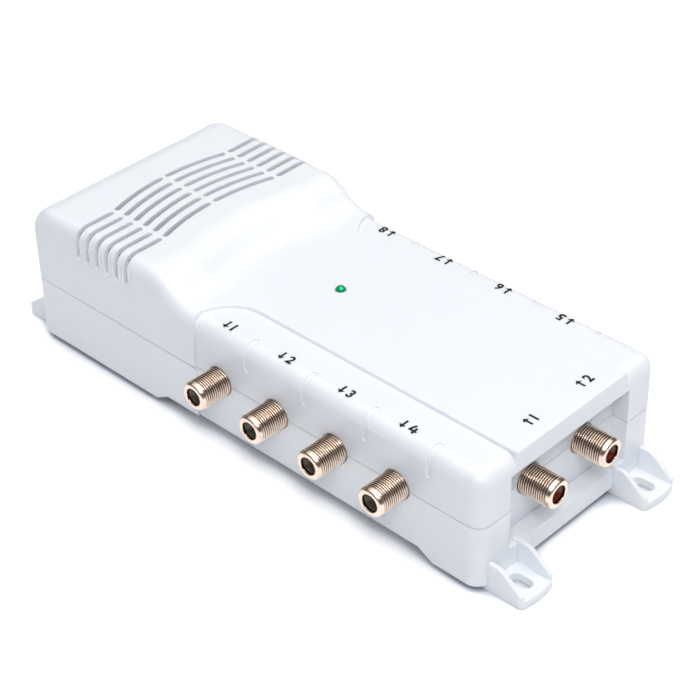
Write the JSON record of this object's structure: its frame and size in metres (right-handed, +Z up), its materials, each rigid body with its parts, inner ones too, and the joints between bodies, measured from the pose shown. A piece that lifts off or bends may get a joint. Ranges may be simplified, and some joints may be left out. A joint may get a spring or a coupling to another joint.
{
  "type": "tv signal amplifier",
  "caption": "Mains powered distribution amplifier for aerial signals: white vented housing with threaded output sockets on both long sides, inputs in an end pocket and slotted fixing lugs.",
  "frame": {"origin": "under the middle of the part, on the plane of the lugs' undersides", "axes": "+X along the housing towards the end with the input sockets, +Y across it towards the outputs with the higher numbers, +Z up"},
  "size_m": [0.2164, 0.101, 0.0509],
  "materials": {
    "cover_plastic": "satin white",
    "base_plastic": "satin white",
    "nickel": "bright nickel plate",
    "output_insulator": "dark grey",
    "input_insulator": "red brown",
    "contact_metal": "plated",
    "steel_screw": "zinc plated",
    "tinplate": "tin plated",
    "circuit_board": "green mask",
    "supply_circuit_board": "bare brown laminate",
    "ferrite": "dark grey ferrite",
    "copper_wire": "enamelled copper",
    "black_epoxy": "moulded black",
    "green_lens": "tinted green",
    "sleeve_plastic": "natural nylon",
    "silicon_steel": "varnished laminations",
    "bobbin_plastic": "glass filled nylon",
    "winding_tape": "yellow polyester tape",
    "fuse_glass": "clear tube with nickel caps",
    "clip_metal": "tinned spring brass",
    "capacitor_sleeve": "shrunk sleeve",
    "sink_aluminium": "black anodised",
    "inlet_plastic": "black thermoplastic",
    "pin_brass": "nickel plated brass",
    "feedthrough_ceramic": "glazed ceramic",
    "printing_ink": "black pad printing",
    "lead_insulation": "red insulation"
  },
  "bodies": {
    "root": {"top_cover": "cover_plastic", "base_tray": "base_plastic", "housing_screws": "steel_screw", "shield_frame": "tinplate", "shield_lid": "tinplate", "shield_floor": "tinplate", "main_board": "circuit_board", "splitter_cores": "ferrite", "splitter_windings": "copper_wire", "amplifier_transistors": "black_epoxy", "filter_inductors": "ferrite", "led_lens": "green_lens", "led_spacer": "sleeve_plastic", "led_leads": "steel_screw", "power_board": "supply_circuit_board", "board_screws": "steel_screw", "transformer_core": "silicon_steel", "transformer_bobbin": "bobbin_plastic", "transformer_windings": "winding_tape", "fuse": "fuse_glass", "fuse_clips": "clip_metal", "rectifier": "black_epoxy", "reservoir_capacitors": "capacitor_sleeve", "regulator": "black_epoxy", "heat_sink": "sink_aluminium", "inlet_body": "inlet_plastic", "inlet_pins": "pin_brass", "feedthroughs": "feedthrough_ceramic", "dc_leads": "lead_insulation", "output_1_barrel": "nickel", "output_1_insulator": "output_insulator", "output_1_contact": "contact_metal", "output_2_barrel": "nickel", "output_2_insulator": "output_insulator", "output_2_contact": "contact_metal", "output_3_barrel": "nickel", "output_3_insulator": "output_insulator", "output_3_contact": "contact_metal", "output_4_barrel": "nickel", "output_4_insulator": "output_insulator", "output_4_contact": "contact_metal", "output_5_barrel": "nickel", "output_5_insulator": "output_insulator", "output_5_contact": "contact_metal", "output_6_barrel": "nickel", "output_6_insulator": "output_insulator", "output_6_contact": "contact_metal", "output_7_barrel": "nickel", "output_7_insulator": "output_insulator", "output_7_contact": "contact_metal", "output_8_barrel": "nickel", "output_8_insulator": "output_insulator", "output_8_contact": "contact_metal", "input_1_barrel": "nickel", "input_1_insulator": "input_insulator", "input_1_contact": "contact_metal", "input_2_barrel": "nickel", "input_2_insulator": "input_insulator", "input_2_contact": "contact_metal"}
  },
  "joints": []
}
